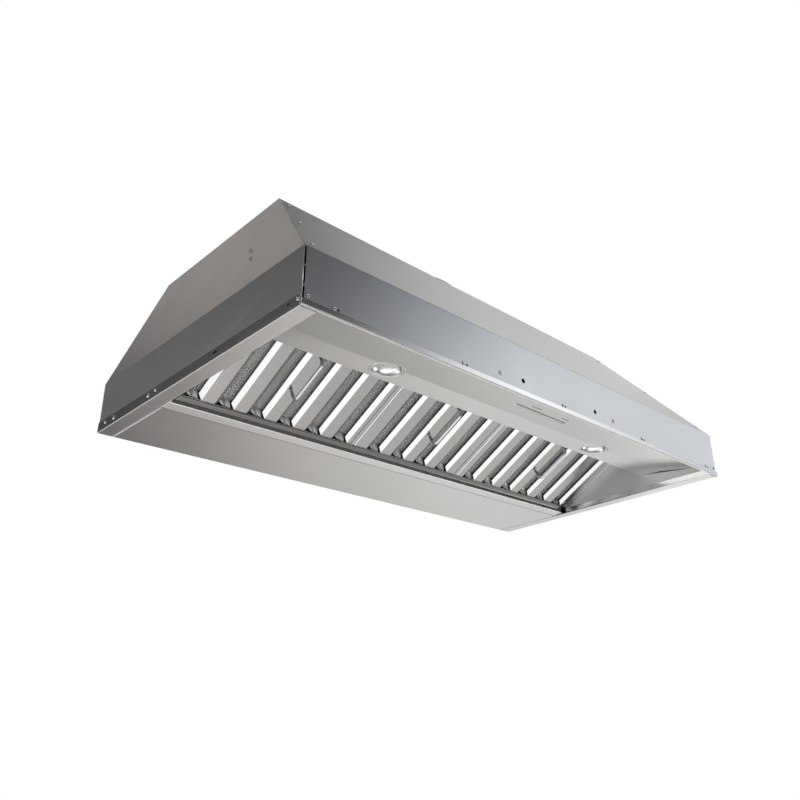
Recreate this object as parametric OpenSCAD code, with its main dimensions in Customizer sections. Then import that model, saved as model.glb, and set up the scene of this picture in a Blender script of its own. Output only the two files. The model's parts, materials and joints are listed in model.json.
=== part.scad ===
// Range hood insert: a hip-shaped sheet shell that hangs inside a custom hood.
// Origin: centre of the underside. X runs along the hood, -Y is its front, +Z is up.

/* [Overall] */
// Width over the two side rails
hood_w = 1025; // [1010:5:1080]
// Depth from the front rail to the back panel
hood_d = 571; // [560:1:600]
// Height of the flat top above the underside
top_h = 320; // [305:5:350]

/* [Shell] */
// Thickness of the shell sheets
sheet_t = 1.2; // [0.8:0.1:1.5]
// Height of the bend between the upright band and the slopes
bend_h = 88; // [80:1:100]
// How far the flat top lies behind the front band
front_run = 209.5; // [190:0.5:225]
// How far the flat top lies inside each side band
side_run = 87; // [70:1:100]
// Gap along the seams between sheets
seam_gap = 0.3; // [0.2:0.1:0.6]
// Width of the open gap at the front corners of the band
corner_gap = 3; // [2:0.5:4]
// Height of each tab that bridges a corner gap
corner_tab = 3; // [2:1:8]

/* [Rails] */
// Thickness of the rails
rail_t = 1.4; // [1.2:0.1:2]
// Height of the front rail's upright leg
front_rail_h = 9.8; // [8:0.2:12]
// Width of the front rail's lower lip
front_lip_w = 4; // [3.2:0.2:6]
// Height of a side rail's outer leg
side_rail_h = 17.2; // [15:0.2:20]
// Height of a side rail's inner leg
inner_leg_h = 11.7; // [8:0.1:14]
// Width of a side rail's flange
flange_w = 26.5; // [22:0.5:30]

/* [Light panel] */
// Thickness of the light panel and the other inner sheets
inner_t = 1.2; // [0.8:0.1:1.5]
// Height of the light panel where it meets the front band
panel_front_h = 21.3; // [18:0.1:26]
// Distance of the light panel's crease behind the front
crease_run = 120.5; // [110:0.5:130]
// Height of the light panel at its crease
crease_h = 38.5; // [34:0.5:42]
// Distance of the light panel's rear edge behind the front
panel_run = 171; // [168:1:174]
// Height of the light panel's rear edge
panel_end_h = 42.5; // [40:0.5:45]
// Height of the flange behind the front band
panel_flange_h = 24; // [15:1:40]
// Distance of the inner walls from the outside of the side rails
wall_inset = 12.5; // [10:0.5:15]

/* [Lamps] */
// Half the distance between the lamps
lamp_x = 268.5; // [240:0.5:300]
// How far the pair of lamps sits to the right of the middle
lamp_shift = 7.5; // [-10:0.5:10]
// Distance of the lamps behind the crease
lamp_v = 12.5; // [11:0.5:14]
// Outer radius of a lamp's rim
lamp_r = 29; // [26:0.5:29.5]
// Depth of a lamp's cup above the panel
lamp_cup_h = 20; // [16:1:26]
// Radius of a lamp's lens
lens_r = 9.5; // [8:0.5:11]

/* [Controls] */
// Left end of the control slot
slot_x = -25; // [-60:1:0]
// Distance of the slot's front edge up the light panel
slot_v = 74.7; // [70:0.1:80]
// Width of the control slot
slot_w = 9.6; // [8:0.2:12]
// Length of the fan bar's opening
fan_bar_l = 72; // [60:1:80]
// Length of the light bar's opening
light_bar_l = 60; // [50:1:70]
// Running clearance round each bar
bar_gap = 0.25; // [0.2:0.05:0.4]
// How far a bar can be pushed in
bar_travel = 1.5; // [1:0.1:2]
// Distance of the indicator row up the light panel
light_row_v = 62.3; // [60:0.1:65]
// Pitch of the indicator lights
light_pitch = 6.6; // [5.5:0.1:8]
// Radius of an indicator light
light_pipe_r = 1.9; // [1:0.05:2.2]

/* [Filters] */
// Distance of the filters' upper end behind the light panel's rear edge
filter_top_run = 21.1; // [20:0.1:24]
// Height of the filters' upper end
filter_top_h = 114.7; // [113:0.1:116]
// Thickness of a filter
filter_t = 13; // [12:0.5:16]
// Width of the middle filter
mid_filter_w = 264.5; // [258:0.5:270]
// Width of the strip that closes each end of the filter row
stop_strip_w = 12.75; // [10:0.25:16]
// Gap between neighbouring filters
filter_gap = 0.5; // [0.4:0.1:1.5]
// Sheet thickness of a filter
filter_sheet_t = 0.8; // [0.6:0.1:1]
// Width of the lip round a filter's frame
frame_lip_w = 8; // [7:0.5:9]
// Least width of the plain strip beside the first and last slot
least_stile = 7; // [6:0.5:8]
// Width of each slot between two front baffles
slot_open_w = 35; // [33:0.5:35.5]
// Width of each front baffle
baffle_w = 22.5; // [21:0.5:23]
// Depth of a front baffle's slanted flanks
flank_h = 5; // [4:0.5:6]
// Sideways reach of a front baffle's slanted flanks
flank_run = 8; // [6:0.5:9]
// Depth of a back baffle's flanks
back_flank_h = 4; // [3:0.5:5]
// How far a back baffle reaches past its slot on each side
back_overlap = 5; // [3:0.5:7]
// Distance of the back baffles' lower ends from the filter's visible lower end
back_end_s = 10; // [8:0.5:14]
// Length of a filter that hides in the track
filter_tuck = 5.5; // [5:0.5:7]
// Clearance between a resting filter and its channels
rest_gap = 0.3; // [0.2:0.1:0.5]
// How far a filter lifts before its lower edge leaves the track
filter_lift = 9; // [8:0.5:12]

/* [Handles] */
// Radius of the handle wire
wire_r = 3.2; // [2.5:0.1:4]
// Distance of the handle's lower leg from the filter's visible lower end
handle_s = 77; // [70:1:90]
// Length of the handle between its legs
handle_l = 83; // [75:1:95]
// Distance of the grip's middle line from the filter
handle_h = 33; // [28:1:38]
// Bend radius of the handle wire
handle_bend = 11; // [8:1:14]
// Distance of the handle from the middle of its filter
handle_off = 8; // [0:0.5:8]

/* [Rear] */
// Depth of the flat rear cover
cover_d = 167.1; // [160:0.1:175]
// Depth of the strip between the rear cover and the filter track
track_w = 22.2; // [20:0.2:26]
// Height of the track's lower bend
track_bend_h = 2.1; // [1.5:0.1:2.5]
// Distance of the filters' visible lower end from the track's bend
track_set = 5.5; // [5:0.1:6]
// Height of the filters' visible lower end
filter_foot_h = 14.7; // [14.5:0.1:16]
// Height of the rear cover's turned-up front edge
cover_edge_h = 11; // [8:1:20]

/* [Duct] */
// Outer radius of the duct collar
collar_r = 125.5; // [120:0.5:127]
// Height of the duct collar
collar_h = 50; // [40:1:60]
// Width of the collar's flange
collar_flange_w = 16; // [12:1:20]
// Distance of the duct's middle from the back
duct_back = 180; // [175:1:190]
// Radius of the damper pin
damper_pin_r = 2.5; // [2:0.1:3]
// Height of the damper pin above the top
damper_h = 20; // [17:1:21]
// Running clearance between a flap's knuckles and the pin
pin_gap = 0.05; // [0.04:0.01:0.08]
// Gap between a closed flap and the collar
flap_gap = 1; // [0.6:0.1:2]
// Thickness of a damper flap
flap_t = 1; // [0.8:0.1:1.5]

/* [Blower] */
// Depth of the blower's axle below the top
neck_h = 115; // [108:1:118]
// Outer radius of the blower scroll
scroll_r = 88; // [85:1:92]
// Width of the blower scroll
scroll_w = 150; // [140:2:160]
// Radius of each air inlet
inlet_r = 58; // [50:1:62]
// Outer radius of the impeller
impeller_r = 78; // [74:1:80]
// Number of impeller blades
blade_count = 24; // [18:1:30]
// Radius of the motor
motor_r = 45; // [40:1:50]
// Length of the motor
motor_l = 70; // [60:1:80]
// Radius of the motor shaft
shaft_r = 5; // [4:0.5:6]

/* [Fasteners] */
// Radius of a screw's head
head_r = 2.9; // [2.5:0.1:3.2]
// Height of a screw's head
head_h = 1.2; // [0.8:0.1:1.3]
// Radius of a screw's shank
shank_r = 1.7; // [1.4:0.1:1.9]
// Length of a screw's shank
shank_l = 4; // [3:0.5:6]
// Radius of the fixing holes in the front band
fixing_r = 4; // [2.5:0.1:4.5]
// Distance of each fixing hole from the middle
fixing_x = 95; // [80:1:120]
// Height of the fixing holes
fixing_h = 27; // [22:1:35]
// Distance of the hanging holes from the ends of the flat top
hang_side = 44.1; // [40:0.1:60]
// Distance of the hanging holes from the front and back of the flat top
hang_edge = 30; // [25:1:40]
// Radius of the hanging holes
hang_r = 4; // [3:0.5:5]

/* [Wiring] */
// Length of the wiring box
box_l = 130; // [110:5:150]
// Depth of the wiring box
box_d = 96; // [80:2:110]
// Height of the wiring box
box_h = 50; // [40:2:60]
// Distance of the wiring box's middle from the end of the flat top
box_side = 124.1; // [115:0.1:140]
// Distance of the wiring box's middle from the back
box_back = 84; // [70:2:90]
// Sheet thickness of the wiring box
box_t = 1; // [0.8:0.1:1.5]
// Bore radius of the cable clamp
clamp_r = 7; // [5:0.5:8]

/* [Hidden] */
$fn = 64;

half_w = hood_w / 2;
half_d = hood_d / 2;
skirt_x = half_w - rail_t;
skirt_y = half_d - rail_t;
top_x = skirt_x - side_run;
top_y = skirt_y - front_run;
rise = top_h - bend_h;
front_slope_a = atan2(rise, front_run);
side_slope_a = atan2(rise, side_run);
back_in = half_d - sheet_t;
wall_x = half_w - wall_inset;
flange_x = half_w - flange_w;
cover_x = flange_x - seam_gap;
panel_x = wall_x - seam_gap;
facet_1_a = atan2(crease_h - panel_front_h, crease_run);
facet_2_a = atan2(panel_end_h - crease_h, panel_run - crease_run);
cover_front = half_d - cover_d;
track_y = cover_front - track_w;
foot_y = track_y - track_set;
filter_end_x = wall_x - stop_strip_w;
side_filter_w = filter_end_x - mid_filter_w / 2 - filter_gap;
side_filter_x = mid_filter_w / 2 + filter_gap + side_filter_w / 2;
filter_a = atan2(filter_top_h - filter_foot_h, foot_y + half_d - panel_run - filter_top_run);
filter_top_s = (filter_top_h - filter_foot_h) / sin(filter_a);
channel_s = filter_top_s + filter_lift + 1 + inner_t;
duct_y = half_d - duct_back;
collar_in = collar_r - sheet_t;
over = 2;

// Direction of a vector
function unit(v) = v / norm(v);
// A vector turned a quarter turn to the left
function left_of(v) = [-v[1], v[0]];
// Point i of path p moved to the left by t, with the corners mitred
function mitre(p, i, t) =
    let (last = len(p) - 1,
         a = unit(i > 0 ? p[i] - p[i - 1] : p[1] - p[0]),
         b = unit(i < last ? p[i + 1] - p[i] : p[last] - p[last - 1]),
         n = unit(left_of(a) + left_of(b)))
    p[i] + n * t / (n * left_of(a));
// Outline of a sheet of thickness t that lies on the left of path p
function sheet(p, t) = concat(p, [for (i = [len(p) - 1:-1:0]) mitre(p, i, t)]);
// Point in Y and Z at distance s up the filters' face and depth d behind it
function on_filter(s, d) = [foot_y - cos(filter_a) * s + sin(filter_a) * d,
                            filter_foot_h + sin(filter_a) * s + cos(filter_a) * d];
// Height of the light panel's upper surface on its rear facet
function panel_top(y) = crease_h + (y + half_d - crease_run) * tan(facet_2_a) + inner_t / cos(facet_2_a);
// Half the width of the front slope at height h
function hip_x(h) = skirt_x - side_run * (h - bend_h) / rise;
// Distance of the front slope from the middle at height h
function slope_y(h) = skirt_y - front_run * (h - bend_h) / rise;

// Draws an outline in Y and Z as a bar along X
module along_x(x0, x1) translate([x0, 0, 0]) rotate([90, 0, 90]) linear_extrude(x1 - x0) children();
// Draws an outline in X and Z as a bar along Y
module along_y(y0, y1) translate([0, y1, 0]) rotate([90, 0, 0]) linear_extrude(y1 - y0) children();
// Box between two corners
module block(a, b) translate(a) cube(b - a);
// Frame on the light panel's front facet: X, up the panel, above its lower surface
module on_facet_1() translate([0, -half_d, panel_front_h]) rotate([facet_1_a, 0, 0]) children();
// Frame on the light panel's rear facet, from the crease
module on_facet_2() translate([0, crease_run - half_d, crease_h]) rotate([facet_2_a, 0, 0]) children();
// Frame on the filters: X, down the slope, into the hood
module on_filters() translate([0, foot_y, filter_foot_h]) rotate([-filter_a, 0, 0]) children();
// Frame at each lamp
module at_lamp(side) on_facet_2() translate([side * lamp_x + lamp_shift, lamp_v, 0]) children();
// The left piece, drawn on the right
module mirrored() mirror([1, 0, 0]) children();

// Screw with a slotted head on the surface and its shank below
module screw(length = shank_l) {
    difference() {
        cylinder(r = head_r, h = head_h);
        translate([-head_r - 1, -0.4, head_h - 0.5]) cube([2 * head_r + 2, 0.8, 1]);
    }
    translate([0, 0, -length]) cylinder(r = shank_r, h = length);
}
// Hole for a screw's shank
module screw_hole(depth = 10) translate([0, 0, -depth / 2]) cylinder(r = shank_r + 0.1, h = depth);

hip_heights = [bend_h + 19, (bend_h + top_h) / 2 + 1, top_h - 20];
hip_inset = 15.5;
module at_hip_screws()
    for (h = hip_heights, side = [-1, 1])
        translate([side * (hip_x(h) - hip_inset), -slope_y(h), h]) rotate([front_slope_a, 0, 0]) children();

rail_screw_inset = 49.5;
rail_screw_shift = 4;
rail_screw_step = (half_w - rail_screw_inset + rail_screw_shift) / 2;
rail_screw_xs = [for (i = [-2:2]) rail_screw_shift + i * rail_screw_step];
rail_screw_h = front_rail_h + head_r + 0.2;
rail_hole_off = 7;
rail_hole_r = 2;
end_screw_x = half_w - 9.5;
fixing_screw_x = fixing_x + 54;
band_screws = [[-end_screw_x, 15.5], [-fixing_screw_x, 24], [fixing_screw_x, 24], [end_screw_x, 15.5]];
band_screw_list = concat(band_screws, [for (x = rail_screw_xs) [x, rail_screw_h]]);
module at_band_screws()
    for (p = band_screw_list) translate([p[0], -skirt_y, p[1]]) rotate([90, 0, 0]) children();

side_screw_ys = [9.1 - half_d, half_d - 198.1, half_d - 26.9];
side_screw_h = 11;
module at_side_screws()
    for (y = side_screw_ys) translate([-half_w, y, side_screw_h]) rotate([0, -90, 0]) children();

clip_ys = [half_d - 173.9, half_d - 57.5];
clip_hole_r = 2.8;
clip_w = 12;
clip_h = 14;
clip_t = 0.7;
module at_clips()
    for (y = clip_ys) translate([-half_w, y, side_rail_h - clip_h / 2]) rotate([0, -90, 0]) children();

side_hole_y = 29.7 - half_d;
side_slot_y = 202.1 - half_d;
side_slot_l = 12;
side_slot_r = 2;
side_hole_r = 2.2;
module side_cuts() {
    at_side_screws() screw_hole();
    at_clips() translate([0, 0, -5]) cylinder(r = clip_hole_r, h = 10);
    translate([-half_w - 5, side_hole_y, side_screw_h]) rotate([0, 90, 0])
        cylinder(r = side_hole_r, h = 10);
    for (e = [-1, 1])
        translate([-half_w - 5, side_slot_y + e * (side_slot_l / 2 - side_slot_r), side_screw_h])
            rotate([0, 90, 0]) cylinder(r = side_slot_r, h = 10);
    half_l = side_slot_l / 2 - side_slot_r;
    block([-half_w - 5, side_slot_y - half_l, side_screw_h - side_slot_r],
          [-half_w + 5, side_slot_y + half_l, side_screw_h + side_slot_r]);
}

front_path = [[-skirt_y, rail_t], [-skirt_y, bend_h], [-top_y, top_h]];
hip_outline = [[-skirt_x, rail_t], [-skirt_x, bend_h], [-top_x, top_h],
               [top_x, top_h], [skirt_x, bend_h], [skirt_x, rail_t]];

module corner_cuts() {
    free = bend_h - rail_t - corner_gap;
    piece = (free - 2 * corner_tab) / 3;
    for (side = [-1, 1], i = [0:2]) {
        low = rail_t + i * (piece + corner_tab);
        x = side > 0 ? skirt_x - corner_gap : -skirt_x - over;
        translate([x, -skirt_y - over, low]) cube([corner_gap + over, sheet_t + 2 * over, piece]);
    }
}

module at_fixing_holes() for (side = [-1, 1])
    translate([side * fixing_x, -skirt_y - 5, fixing_h]) rotate([-90, 0, 0]) children();

module front_panel() color("silver") difference() {
    intersection() {
        along_x(-skirt_x, skirt_x) polygon(sheet(front_path, -sheet_t));
        along_y(-half_d, half_d) polygon(hip_outline);
    }
    corner_cuts();
    at_hip_screws() screw_hole();
    at_band_screws() screw_hole();
    at_fixing_holes() cylinder(r = fixing_r, h = 10);
    for (x = rail_screw_xs) translate([x + rail_hole_off, -skirt_y - 5, rail_screw_h])
        rotate([-90, 0, 0]) cylinder(r = rail_hole_r, h = 10);
}

module left_panel() color("silver") difference() {
    intersection() {
        along_y(-half_d, back_in - seam_gap)
            polygon(sheet([[-skirt_x, rail_t], [-skirt_x, bend_h], [-top_x, top_h]], -sheet_t));
        along_x(-half_w, half_w) polygon(concat(
            [for (i = [0:2]) mitre(front_path, i, -sheet_t - seam_gap)],
            [[half_d, top_h], [half_d, rail_t]]));
    }
    side_cuts();
}
module right_panel() mirrored() left_panel();

module back_panel() color("silver") along_y(back_in, half_d) polygon(hip_outline);

module top_panel() color("silver") {
    side_in = top_x - sheet_t / sin(side_slope_a) - seam_gap;
    front_in = top_y - sheet_t / sin(front_slope_a) - seam_gap;
    difference() {
        block([-side_in, -front_in, top_h - sheet_t], [side_in, back_in - seam_gap, top_h]);
        block([-scroll_w / 2, duct_y - scroll_r, top_h - 5], [scroll_w / 2, duct_y + neck_rear, top_h + 5]);
        at_hang_holes() cylinder(r = hang_r, h = 20, center = true);
        at_collar_screws() screw_hole();
        at_wiring() clamp_hole();
    }
}
neck_rear = 20;
module at_hang_holes() for (side = [-1, 1], y = [hang_edge - top_y, half_d - hang_edge])
    translate([side * (top_x - hang_side), y, top_h]) children();

module front_rail() color("gainsboro") along_x(-half_w, half_w)
    polygon(sheet([[-half_d, front_rail_h], [-half_d, 0], [front_lip_w - half_d, 0]], rail_t));

filter_notch = 6;
module left_rail() color("gainsboro") difference() {
    rail_front = front_lip_w - half_d + seam_gap;
    leg_out = -flange_x - rail_t - 1;
    along_y(rail_front, half_d) polygon(sheet(
        [[-half_w, side_rail_h], [-half_w, 0], [-flange_x, 0], [-flange_x, inner_leg_h]], rail_t));
    side_cuts();
    // The inner leg is notched where the filter track ends, and stops before the back panel
    block([leg_out, foot_y - filter_notch, rail_t], [1 - flange_x, cover_front, inner_leg_h + 1]);
    block([leg_out, back_in - seam_gap, rail_t], [1 - flange_x, half_d + 1, inner_leg_h + 1]);
}
module right_rail() mirrored() left_rail();

module clip_nut() difference() {
    translate([-clip_h / 2, -clip_w / 2, 0]) cube([clip_h, clip_w, clip_t]);
    cylinder(r = clip_hole_r, h = 10, center = true);
}
module rail_clip_nuts() color("lightgray") for (side = [0, 1]) mirror([side, 0, 0]) at_clips() clip_nut();

panel_in_y = -skirt_y + sheet_t + seam_gap;
panel_in_z = panel_front_h + (panel_in_y + half_d) * tan(facet_1_a);
panel_path = [[panel_in_y, panel_in_z + panel_flange_h], [panel_in_y, panel_in_z],
              [crease_run - half_d, crease_h], [panel_run - half_d, panel_end_h]];
bar_mid_x = slot_x + fan_bar_l;
slot_end_x = bar_mid_x + light_bar_l;
fan_light_x = slot_x + 26.7;
light_light_x = bar_mid_x + 36;
module at_indicator_lights() on_facet_1() {
    for (i = [0:3]) translate([fan_light_x + i * light_pitch, light_row_v, 0]) children();
    for (i = [0:2]) translate([light_light_x + i * light_pitch, light_row_v, 0]) children();
}

module light_panel() color("silver") difference() {
    along_x(-panel_x, panel_x) polygon(sheet(panel_path, inner_t));
    for (side = [-1, 1]) at_lamp(side) translate([0, 0, -10]) cylinder(r = lamp_r + 0.3, h = 20);
    on_facet_1() block([slot_x, slot_v, -5], [slot_end_x, slot_v + slot_w, 5]);
    at_indicator_lights() translate([0, 0, -5]) cylinder(r = light_pipe_r + 0.1, h = 10);
    at_band_screws() screw_hole();
    at_fixing_holes() cylinder(r = fixing_r + 0.5, h = 10);
}

wall_room = skirt_x - sheet_t / sin(side_slope_a) - wall_x - inner_t - seam_gap;
wall_top = bend_h - 1 + wall_room * rise / side_run;
wall_rear_h = 40;
wall_ridge_y = -15;
wall_over = 22;
retainer_y = panel_run - half_d - 8;
retainer_foot_y = retainer_y + 6.5;
retainer_x = filter_end_x + 1;
retainer_front_lip = 10.5;
retainer_back_lip = 4.5;
retainer_rest = 0.05;
module left_inner_wall() color("silver") along_x(-wall_x - inner_t, -wall_x) polygon([
    [panel_in_y, rail_t], [cover_front, rail_t], [cover_front, wall_rear_h],
    [wall_ridge_y, wall_top], [retainer_y, wall_top], [retainer_y, panel_end_h + wall_over],
    [panel_in_y, panel_in_z + panel_flange_h]]);
module right_inner_wall() mirrored() left_inner_wall();

track_lip_s = 1.3;
track_floor_s = -filter_tuck - rest_gap - inner_t;
module filter_track() color("silver") {
    corner = on_filter(track_floor_s, -rest_gap - inner_t);
    back_d = filter_t + rest_gap + inner_t;
    along_x(-cover_x, cover_x) polygon(sheet([[cover_front - seam_gap, 0], [corner[0], track_bend_h],
        [corner[0], corner[1] + 1.6 * inner_t]], -inner_t));
    along_x(-cover_x, cover_x) polygon(sheet([on_filter(track_lip_s, -rest_gap - inner_t), corner,
        on_filter(track_floor_s, back_d), on_filter(track_lip_s + 3, back_d)], inner_t));
}

module filter_retainer() color("silver") {
    front_d = -rest_gap - inner_t;
    back_d = filter_t + rest_gap + inner_t;
    foot = [for (y = [retainer_y, retainer_foot_y]) [y, panel_top(y) + retainer_rest]];
    joined = on_filter(channel_s - 0.8, front_d + 1.1);
    along_x(-retainer_x, retainer_x) polygon(sheet(concat(foot, [joined]), inner_t));
    along_x(-retainer_x, retainer_x) polygon(sheet([on_filter(filter_top_s - retainer_front_lip, front_d),
        on_filter(channel_s, front_d), on_filter(channel_s, back_d),
        on_filter(filter_top_s - retainer_back_lip, back_d)], -inner_t));
}

strip_leg_h = 14;
strip_foot_s = 2;
strip_leg_s = (wall_top - filter_foot_h - strip_leg_h * cos(filter_a)) / sin(filter_a) - 2;
strip_top_s = filter_top_s - 12;
strip_in_x = filter_end_x + filter_gap;
module stop_strips() color("gainsboro") for (side = [0, 1]) mirror([side, 0, 0]) on_filters() {
    along_y(-strip_leg_s, -strip_foot_s) polygon(sheet(
        [[-panel_x, strip_leg_h], [-panel_x, 0], [-strip_in_x, 0]], inner_t));
    along_y(-strip_top_s, -strip_leg_s + 1) polygon([[-panel_x, 0], [-strip_in_x, 0],
        [-strip_in_x, inner_t], [-panel_x, inner_t]]);
}

module rear_cover() color("silver") along_x(-cover_x, cover_x) polygon(sheet(
    [[cover_front, cover_edge_h], [cover_front, 0], [half_d, 0]], inner_t));

// Filters: x is the middle, w the width, n the number of slots
pitch = slot_open_w + baffle_w;
function slots(w) = floor((w - 2 * least_stile + baffle_w) / pitch);
function stile(w, n) = (w - n * slot_open_w - (n - 1) * baffle_w) / 2;
inner_low = filter_sheet_t;
inner_high = filter_t - filter_sheet_t;
module filter_frame(x, w) color("lightgray") on_filters() translate([x, 0, 0]) difference() {
    t = filter_sheet_t;
    block([-w / 2, -filter_top_s, 0], [w / 2, filter_tuck, filter_t]);
    block([t - w / 2, t - filter_top_s, t], [w / 2 - t, filter_tuck - t, inner_high]);
    block([frame_lip_w - w / 2, frame_lip_w - filter_top_s, -1],
          [w / 2 - frame_lip_w, filter_tuck - frame_lip_w, filter_t + 1]);
}
bar_top = filter_sheet_t - filter_top_s;
bar_foot = filter_tuck - filter_sheet_t;
flank_foot = filter_tuck - frame_lip_w;
flank_cut = flank_run + 1;
// Face outline of a baffle from x0 to x1, with the foot of each flank cut back at 45 degrees
function baffle_outline(x0, x1, left, right) =
    let (x_low = x0 - flank_cut, x_high = x1 + flank_cut, cut_foot = flank_foot - flank_cut)
    concat([[x1, bar_foot], [x0, bar_foot]],
           left ? [[x0, flank_foot], [x_low, cut_foot], [x_low, bar_top]] : [[x0, bar_top]],
           right ? [[x_high, bar_top], [x_high, cut_foot], [x1, flank_foot]] : [[x1, bar_top]]);
// Front baffle with its face from x0 to x1 and a flank on the sides asked for
module front_baffle(x0, x1, left = true, right = true) intersection() {
    low = inner_low;
    high = inner_low + flank_h;
    along_y(bar_top, bar_foot) polygon(sheet(concat(
        left ? [[x0 - flank_run, high]] : [], [[x0, low], [x1, low]],
        right ? [[x1 + flank_run, high]] : []), filter_sheet_t));
    linear_extrude(filter_t) polygon(baffle_outline(x0, x1, left, right));
}
module front_baffles(x, w) color("silver") on_filters() translate([x, 0, 0]) {
    n = slots(w);
    edge = stile(w, n) - w / 2;
    side = w / 2 - filter_sheet_t;
    for (i = [1:n - 1]) front_baffle(edge + i * pitch - baffle_w, edge + i * pitch);
    front_baffle(-side, edge, left = false);
    front_baffle(-edge, side, right = false);
}
module back_baffles(x, w) color("dimgray") on_filters() translate([x, 0, 0]) along_y(bar_top, -back_end_s) {
    n = slots(w);
    edge = stile(w, n) - w / 2 - back_overlap;
    full = slot_open_w + 2 * back_overlap;
    for (i = [0:n - 1]) translate([edge + i * pitch, 0]) polygon(sheet(
        [[0, inner_high - back_flank_h], [0, inner_high], [full, inner_high],
         [full, inner_high - back_flank_h]], -filter_sheet_t));
}
module filter_handle(x) color("whitesmoke") on_filters() translate([x - handle_off, -handle_s, inner_low]) {
    leg = handle_h + inner_low - handle_bend;
    span = handle_l - 2 * handle_bend;
    for (y = [0, -handle_l]) translate([0, y, -leg]) cylinder(r = wire_r, h = leg);
    translate([0, -handle_bend, -leg - handle_bend]) rotate([90, 0, 0]) cylinder(r = wire_r, h = span);
    translate([0, -handle_bend, -leg]) rotate([0, 90, 0]) handle_corner();
    translate([0, handle_bend - handle_l, -leg]) rotate([0, 90, 0]) mirror([0, 1, 0]) handle_corner();
}
module handle_corner() rotate_extrude(angle = 90) translate([handle_bend, 0]) circle(r = wire_r);

module left_filter_frame() filter_frame(-side_filter_x, side_filter_w);
module left_filter_front_baffles() front_baffles(-side_filter_x, side_filter_w);
module left_filter_back_baffles() back_baffles(-side_filter_x, side_filter_w);
module left_filter_handle() filter_handle(-side_filter_x);
module middle_filter_frame() filter_frame(0, mid_filter_w);
module middle_filter_front_baffles() front_baffles(0, mid_filter_w);
module middle_filter_back_baffles() back_baffles(0, mid_filter_w);
module middle_filter_handle() filter_handle(0);
module right_filter_frame() filter_frame(side_filter_x, side_filter_w);
module right_filter_front_baffles() front_baffles(side_filter_x, side_filter_w);
module right_filter_back_baffles() back_baffles(side_filter_x, side_filter_w);
module right_filter_handle() filter_handle(side_filter_x);

// Lamps
rim_proud = 0.6;
cup_t = 1.2;
dish_t = 0.8;
dish_r = lamp_r - cup_t - dish_t - 0.1;
dish_top = 12;
dish_hole_r = lens_r + 2;
lens_top = 13;
module_r = 13;
module_h = 22;
module lamp_cup() color("silver") {
    difference() {
        translate([0, 0, -rim_proud]) cylinder(r = lamp_r, h = lamp_cup_h + rim_proud);
        translate([0, 0, -rim_proud - 1])
            cylinder(r = lamp_r - cup_t, h = lamp_cup_h + rim_proud + 1 - cup_t);
        cylinder(r = module_r + 0.2, h = lamp_cup_h + 5);
    }
    // Two spring tabs rest on the panel's upper side
    for (side = [-1, 1]) {
        x = side > 0 ? lamp_r - 0.5 : -lamp_r - 5;
        translate([x, -4, inner_t + 0.1]) cube([5.5, 8, 1]);
    }
}
module reflector() color("white") rotate_extrude() {
    steps = 6;
    polygon(sheet([for (i = [0:steps]) let (a = 90 * i / steps)
        [dish_hole_r + (dish_r - dish_hole_r) * cos(a), dish_top * sin(a)]], -dish_t));
}
module lens() color("ivory") rotate_extrude() {
    steps = 6;
    polygon(concat([for (i = [0:steps]) let (a = 90 * i / steps) [lens_r * sin(a), 8 - 4 * cos(a)]],
                   [[lens_r, lens_top], [0, lens_top]]));
}
module left_lamp_cup() at_lamp(-1) lamp_cup();
module right_lamp_cup() at_lamp(1) lamp_cup();
module left_reflector() at_lamp(-1) reflector();
module right_reflector() at_lamp(1) reflector();
module left_lens() at_lamp(-1) lens();
module right_lens() at_lamp(1) lens();
module lamp_modules() color("dimgray") for (side = [-1, 1]) at_lamp(side)
    translate([0, 0, lens_top]) cylinder(r = module_r, h = module_h);
driver_x = lamp_x - lamp_shift - 78.5;
driver_l = 110;
driver_v = [60, 100];
driver_h = 28;
driver_rest = 0.05;
module lamp_driver() color("white") on_facet_1() translate([-driver_x, 0, inner_t + driver_rest])
    block([0, driver_v[0], 0], [driver_l, driver_v[1], driver_h]);

// Controls
housing_t = 1.5;
housing_h = 17;
bar_low = 0.3;
bar_high = 4.5;
board_low = bar_high + bar_travel + 4;
board_t = 1.6;
housing_v = [56, 92];
module control_housing() color("dimgray") on_facet_1() difference() {
    low = inner_t;
    block([slot_x - 5, housing_v[0], low], [slot_end_x + 5, housing_v[1], housing_h]);
    block([slot_x - 5 + housing_t, housing_v[0] + housing_t, low - 1],
          [slot_end_x + 5 - housing_t, housing_v[1] - housing_t, housing_h - housing_t]);
}
module control_board() color("green") on_facet_1() block(
    [slot_x - 5 + housing_t, housing_v[0] + housing_t, board_low],
    [slot_end_x + 5 - housing_t, housing_v[1] - housing_t, board_low + board_t]);
bar_flange = [inner_t + 0.3, inner_t + 1.5];
bar_flange_w = 1.5;
module push_bar(x0, x1) color("gainsboro") on_facet_1() {
    block([x0 + bar_gap, slot_v + bar_gap, bar_low], [x1 - bar_gap, slot_v + slot_w - bar_gap, bar_high]);
    block([x0 + bar_gap, slot_v - bar_flange_w, bar_flange[0]],
          [x1 - bar_gap, slot_v + slot_w + bar_flange_w, bar_flange[1]]);
}
module fan_bar() push_bar(slot_x, bar_mid_x);
module light_bar() push_bar(bar_mid_x, slot_end_x);
spring_t = 0.4;
module bar_spring(x) color("silver") on_facet_1() translate([x, 0, 0]) {
    ends = board_low - spring_t;
    along_y(slot_v + 2, slot_v + slot_w - 2) polygon(sheet(
        [[-20, ends], [-14, ends], [-4, bar_high], [4, bar_high], [14, ends], [20, ends]], spring_t));
}
module fan_spring() bar_spring((slot_x + bar_mid_x) / 2);
module light_spring() bar_spring((bar_mid_x + slot_end_x) / 2);
module indicator_lights() color("whitesmoke") at_indicator_lights()
    translate([0, 0, 0.2]) cylinder(r = light_pipe_r, h = board_low - 0.2);

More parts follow.
